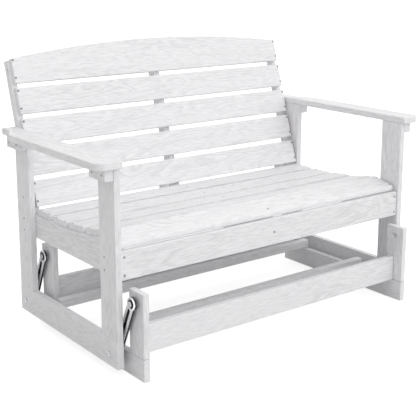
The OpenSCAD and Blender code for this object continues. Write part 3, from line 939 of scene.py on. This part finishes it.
# Seat slats
for i in range(SEAT_SLATS):
    node = f"seat_slat_{i + 1}"
    half = seat_width(i) / 2
    slat = saw(node + "_board", (-SLAT_HALF, -half, -SLAT_T), (SLAT_HALF, half, 0))
    runs = lambda a, b: abs(a.x - b.x) > HAIR
    others = runs
    if i == SEAT_SLATS - 1:
        ahead = lambda a, b: runs(a, b) and max(a.y, b.y) < HAIR - half
        above = lambda a, b: ahead(a, b) and min(a.z, b.z) > -HAIR
        beneath = lambda a, b: ahead(a, b) and max(a.z, b.z) < HAIR - SLAT_T
        others = lambda a, b: runs(a, b) and min(a.y, b.y) > half - HAIR
        round_over(slat, above, NOSE_TOP_EDGE, EDGE_STEPS)
        round_over(slat, beneath, NOSE_UNDER_EDGE, NOSE_UNDER_STEPS)
    round_over(slat, others, SLAT_EDGE, EDGE_STEPS)
    touch_ends(slat, ACROSS)
    settle(slat, seat_frame(i))
    sink_pockets(slat, SEAT_HEADS)
    deliver(slat, node, "glider", lumber_across)


def crest():
    """The top slat of the back, with its arched upper edge"""
    low_u = (BACK_SLATS - 1) * BACK_PITCH
    end_u = low_u + CREST_END
    radius = (SLAT_HALF ** 2 + CREST_RISE ** 2) / (2 * CREST_RISE)
    board = saw("back_slat_5_board", (-SLAT_HALF, 0, low_u), (SLAT_HALF, SLAT_T, end_u))
    mark_edges(board, lambda a, b: abs(a.x - b.x) > HAIR)
    bpy.ops.mesh.subdivide(number_cuts=CREST_COLUMNS - 1)
    bpy.ops.object.mode_set(mode="OBJECT")
    for column in range(1, CREST_COLUMNS):
        x = -SLAT_HALF + 2 * SLAT_HALF * column / CREST_COLUMNS
        rise = CREST_RISE - radius + math.sqrt(radius ** 2 - x ** 2)
        crown = lambda c: abs(c.x - x) < HAIR and c.z > end_u - HAIR
        shift_corners(board, crown, (0, 0, rise))
    runs = lambda a, b: abs(a.x - b.x) > HAIR and abs(a.y - b.y) < HAIR
    round_over(board, runs, SLAT_EDGE, EDGE_STEPS)
    touch_ends(board, ACROSS)
    return board


# Back slats
for k in range(BACK_SLATS):
    node = f"back_slat_{k + 1}"
    if k == BACK_SLATS - 1:
        slat = crest()
    else:
        low_u = k * BACK_PITCH
        corners = (-SLAT_HALF, 0, low_u), (SLAT_HALF, SLAT_T, low_u + SLAT_W)
        slat = mill(node + "_board", *corners, ACROSS, SLAT_EDGE)
    settle(slat, BACK_FRAME)
    sink_pockets(slat, BACK_HEADS)
    deliver(slat, node, "glider", lumber_across)


def upright(node, low_x, high_x, depth, top, outer_face=None):
    """An upright of the back, sawn level where it stands on the seat rail, with a hole in its outer face"""
    board = saw(node + "_board", (low_x, SLAT_T, -FOOT_BELOW), (high_x, SLAT_T + depth, top))
    round_long_edges(board, UP, UPRIGHT_EDGE)
    round_over(board, lambda a, b: min(a.z, b.z) > top - HAIR, SAWN_EDGE, SAWN_STEPS)
    settle(board, BACK_FRAME)
    slice_at(board, (0, 0, SEAT_Z - SLAT_T), (0, 0, 1), drop_below=True)
    if outer_face:
        ends = sorted((outer_face - math.copysign(UPRIGHT_HOLE_DEPTH, outer_face), outer_face * DRILL_PAST))
        drill = turned("drill", *ends, UPRIGHT_HOLE_R)
        place = (0, SLAT_T + UPRIGHT_HOLE_BACK, top - UPRIGHT_HOLE_DOWN)
        settle(drill, BACK_FRAME @ Matrix.Translation(place))
        machine(board, "DIFFERENCE", drill)
    deliver(board, node, "glider", lumber_leaning)


upright("upright_left", -LEG_X, -LEG_X + BOARD_T, UPRIGHT_D, UPRIGHT_TOP, -LEG_X)
upright("upright_centre", -CENTRE_T / 2, CENTRE_T / 2, CENTRE_D, CENTRE_TOP)
upright("upright_right", LEG_X - BOARD_T, LEG_X, UPRIGHT_D, UPRIGHT_TOP, LEG_X)

# Screws
short_screw = screw("short_screw", SCREW_L)
long_screw = screw("long_screw", LONG_SCREW_L)


def drive(name, node, groups):
    """Drives a set of screws home"""
    sets = [repeated(name, pattern, heads) for pattern, heads in groups]
    screws = joined(name, sets)
    smooth(screws, FINE_SMOOTH)
    hand_over(screws, "glider", [node], screw_grey)


drive("screws_in_seat", "seat_screws", [(short_screw, SEAT_HEADS)])
drive("screws_in_back", "back_screws", [(short_screw, BACK_HEADS)])
drive("screws_in_apron", "apron_screws", [(short_screw, APRON_HEADS)])
drive("screws_in_side_frames", "frame_screws", [(short_screw, SHORT_HEADS), (long_screw, LONG_HEADS)])
for pattern in (short_screw, long_screw, pocket):
    bpy.data.objects.remove(pattern)


def glide_arm_pattern():
    """A glide arm of the right side, hanging straight down from its upper pivot at the origin"""
    outer = ARM_X + ARM_T
    arm = saw("arm", (ARM_X, -SHANK_W / 2, -ARM_L), (outer, SHANK_W / 2, 0))
    for z in (0, -ARM_L):
        eye = turned("eye", ARM_X, outer, EYE_R, EYE_SIDES)
        settle(eye, Matrix.Translation((0, 0, z)))
        machine(arm, "UNION", eye)
    soft_edges(arm, RIB_ROUND, EDGE_STEPS)
    for z in (0, -ARM_L):
        for low_x, radius in ((ARM_X - EYE_R, BUSHING_R), (outer - EYE_RECESS, EYE_RECESS_R)):
            drill = turned("drill", low_x, outer + EYE_R, radius, EYE_SIDES)
            settle(drill, Matrix.Translation((0, 0, z)))
            machine(arm, "DIFFERENCE", drill)
    half = SHANK_W / 2 - RIB_W
    channel = saw("channel", (outer - CHANNEL, -half, -ARM_L + EYE_R), (outer + CHANNEL, half, -EYE_R))
    round_over(channel, lambda a, b: abs(a.x - b.x) > HAIR, half * CHANNEL_END, CHANNEL_END_STEPS)
    machine(arm, "DIFFERENCE", channel)
    runs_long = lambda a, b: abs(a.z - b.z) > ARM_L / 3
    brink = lambda a, b: runs_long(a, b) and min(a.x, b.x) > outer - HAIR and abs(a.y) < half + HAIR
    round_over(arm, brink, RIB_ROUND, EDGE_STEPS)
    soft_edges(arm, ARM_EDGE)
    return arm


arm_pattern = glide_arm_pattern()


def bushing_pattern():
    """Both bushings of an arm"""
    rings = []
    for z in (0, -ARM_L):
        ring = turned("ring", ARM_X, ARM_X + ARM_T, BUSHING_R)
        machine(ring, "DIFFERENCE", turned("drill", ARM_X - ARM_T, ARM_X + 2 * ARM_T, BORE_R))
        soft_edges(ring, STEEL_EDGE, 1)
        settle(ring, Matrix.Translation((0, 0, z)))
        rings.append(ring)
    return joined("bushings", rings)


bushings = bushing_pattern()


def hang(name, pattern, end, side):
    """Hangs a copy of an arm's part on its pivot"""
    turn = Matrix.Translation((0, PIVOT_Y[end], UPPER_Z)) @ Matrix.Rotation(ARM_LEAN, 4, "X")
    part = repeated(name, pattern, [turn])
    if side == "left":
        flip_over(part)
    smooth(part, FINE_SMOOTH)
    return part


for end in ENDS:
    for side in SIDES:
        place = f"{end}_{side}"
        body = "arm_" + place
        hand_over(hang("glide_arm_" + place, arm_pattern, end, side), body, [body], chrome)
        hand_over(hang("nylon_rings_" + place, bushings, end, side), body, ["bushings_" + place],
                  bushing_nylon)
for pattern in (arm_pattern, bushings):
    bpy.data.objects.remove(pattern)


def hexagon(name, low_x, high_x):
    """A hexagonal head or nut whose corners are turned off on its outer face"""
    block = turned(name, low_x, high_x, HEX_R, HEX_SIDES)
    wide, narrow = HEX_R * HEX_CHAMFER_IN, HEX_R * HEX_CHAMFER_OUT
    shell = turned("shell", low_x - HEX_R, high_x, wide, ROUND_SIDES, narrow)
    machine(block, "INTERSECT", shell)
    return block


AT_UPPER_PIVOTS = [Matrix.Translation((0, y, UPPER_Z)) for y in PIVOT_Y.values()]
AT_LOWER_PIVOTS = [Matrix.Translation((0, y + HANG_Y, LOWER_Z)) for y in PIVOT_Y.values()]
INNER_FACE = ARM_X - ARM_PLAY
OUTER_FACE = ARM_X + ARM_T + ARM_PLAY


def both_sides_of(name, pattern, turns):
    """Puts a pattern on the right side's pivots and a mirrored set on the left"""
    right = repeated(name, pattern, turns)
    left = repeated(name + "_left", pattern, turns)
    flip_over(left)
    bpy.data.objects.remove(pattern)
    return joined(name, [right, left])


def fit_steel(name, node, body, pattern, turns):
    """Fits a set of bolts, nuts or spacers"""
    parts = both_sides_of(name, pattern, turns)
    smooth(parts, STEEL_SMOOTH)
    hand_over(parts, body, [node], bolt_zinc)


def spacer(low_x, high_x):
    """A round spacer with a bolt's hole through it"""
    ring = turned("spacer", low_x, high_x, BUSHING_R)
    machine(ring, "DIFFERENCE", turned("drill", low_x - BUSHING_R, high_x + BUSHING_R, BOLT_R))
    soft_edges(ring, STEEL_EDGE, 1)
    return ring


def upper_bolt():
    """A hexagonal bolt through an arm and a post, with its tip inside the base"""
    head = hexagon("upper_bolt", OUTER_FACE, OUTER_FACE + HEAD_H)
    tip = POST_IN - NUT_H - BOLT_TIP
    shank = turned("shank", tip, OUTER_FACE + SHANK_IN_HEX, BOLT_R)
    round_over(shank, lambda a, b: max(a.x, b.x) < tip + HAIR, BOLT_TIP_EDGE, STEEL_STEPS)
    soft_edges(head, STEEL_EDGE, angle=HEX_ANGLE)
    return joined("upper_bolt", [head, shank])


def nut(name, low_x, high_x):
    """A hexagonal nut whose chamfered face points away from its board"""
    block = hexagon(name, low_x, high_x)
    middle = Vector(((low_x + high_x) / 2, 0, 0))
    settle(block, Matrix.Translation(middle) @ Matrix.Rotation(math.pi, 4, "Z") @ Matrix.Translation(-middle))
    machine(block, "DIFFERENCE", turned("drill", low_x - HEX_R, high_x + HEX_R, BOLT_R))
    soft_edges(block, STEEL_EDGE, angle=HEX_ANGLE)
    return block


def lower_bolt():
    """A round-headed bolt with a hexagonal socket, through a bottom rail and an arm"""
    face = OUTER_X + HEAD_H
    head = turned("lower_bolt", OUTER_X, face, BUTTON_R)
    round_over(head, lambda a, b: min(a.x, b.x) > face - HAIR, BUTTON_ROUND, EDGE_STEPS)
    key = turned("key", face - SOCKET_DEPTH, face + SOCKET_DEPTH, SOCKET_R, HEX_SIDES)
    machine(head, "DIFFERENCE", key)
    shank = turned("shank", INNER_FACE - THIN_NUT_H, OUTER_X + SHANK_IN_BUTTON, BOLT_R)
    return joined("lower_bolt", [head, shank])


fit_steel("upper_bolt_set", "upper_bolts", "base", upper_bolt(), AT_UPPER_PIVOTS)
fit_steel("upper_nut_set", "upper_nuts", "base", nut("nut", POST_IN - NUT_H, POST_IN), AT_UPPER_PIVOTS)
fit_steel("upper_spacer_set", "upper_spacers", "base", spacer(POST_OUT, INNER_FACE), AT_UPPER_PIVOTS)
fit_steel("lower_bolt_set", "lower_bolts", "glider", lower_bolt(), AT_LOWER_PIVOTS)
thin_nut = nut("thin_nut", INNER_FACE - THIN_NUT_H, INNER_FACE)
fit_steel("lower_nut_set", "lower_nuts", "glider", thin_nut, AT_LOWER_PIVOTS)
fit_steel("lower_spacer_set", "lower_spacers", "glider", spacer(OUTER_FACE, LEG_X), AT_LOWER_PIVOTS)


def seen_directly(nodes, links):
    """1 for what the camera sees, straight or in a mirror or through glass"""
    path = nodes.new("ShaderNodeLightPath")
    direct = calculate(nodes, links, "MAXIMUM", path.outputs["Is Camera Ray"], path.outputs["Is Glossy Ray"])
    return calculate(nodes, links, "MAXIMUM", direct, path.outputs["Is Transmission Ray"])


def studio_floor():
    """A plain pale floor that keeps the bench's shadow"""
    leave_all()
    bpy.ops.mesh.primitive_plane_add(size=FLOOR_SIZE, location=(0, 0, -FLOOR_DOWN))
    floor = bpy.context.object
    floor.name = "studio_floor"
    finish, nodes, links, face = shader("pale_floor")
    face.inputs["Base Color"].default_value = FLOOR_TONE
    face.inputs["Roughness"].default_value = FLOOR_ROUGHNESS
    face.inputs["Specular IOR Level"].default_value = 0
    face.inputs["Emission Color"].default_value = WHITE
    glow = calculate(nodes, links, "MULTIPLY", seen_directly(nodes, links), FLOOR_GLOW)
    links.new(glow, face.inputs["Emission Strength"])
    floor.data.materials.append(finish)


def key_light():
    """A large soft lamp that faces the bench"""
    lamp = bpy.data.lights.new("key_light", "AREA")
    lamp.size = KEY_SIZE
    lamp.energy = KEY_POWER
    fixture = bpy.data.objects.new("key_light", lamp)
    bpy.context.collection.objects.link(fixture)
    fixture.location = KEY_PLACE
    fixture.rotation_euler = (Vector(KEY_TARGET) - Vector(KEY_PLACE)).to_track_quat("-Z", "Y").to_euler()


def studio_sky():
    """Soft light from all round with more from three sides, white where it is seen"""
    world = bpy.data.worlds.new("studio_sky")
    bpy.context.scene.world = world
    world.use_nodes = True
    nodes, links = world.node_tree.nodes, world.node_tree.links
    sky = nodes["Background"]
    sky.inputs["Color"].default_value = WHITE
    where = nodes.new("ShaderNodeTexCoord")
    split = nodes.new("ShaderNodeSeparateXYZ")
    links.new(where.outputs["Generated"], split.inputs["Vector"])
    glow = SKY_LEVEL
    for axis, slope in (("Y", -SKY_FRONT), ("Z", SKY_TOP), ("X", SKY_RIGHT)):
        side = calculate(nodes, links, "MULTIPLY", split.outputs[axis], slope)
        glow = calculate(nodes, links, "ADD", calculate(nodes, links, "MAXIMUM", side, 0), glow)
    seen = seen_directly(nodes, links)
    unseen = calculate(nodes, links, "SUBTRACT", 1, seen)
    light = calculate(nodes, links, "ADD", seen, calculate(nodes, links, "MULTIPLY", unseen, glow))
    links.new(light, sky.inputs["Strength"])


def camera():
    """The camera, near where the photograph was taken from"""
    lens = bpy.data.cameras.new("camera")
    lens.sensor_width = CAMERA_SENSOR
    lens.lens = CAMERA_LENS
    lens.shift_y = CAMERA_SHIFT
    lens.clip_end = CAMERA_REACH
    eye = bpy.data.objects.new("camera", lens)
    bpy.context.collection.objects.link(eye)
    eye.location = CAMERA_PLACE
    eye.rotation_euler = (QUARTER - math.radians(CAMERA_DOWN), 0, math.radians(CAMERA_TURN))
    bpy.context.scene.camera = eye


studio_floor()
studio_sky()
key_light()
camera()
bpy.context.scene.view_settings.view_transform = "Standard"
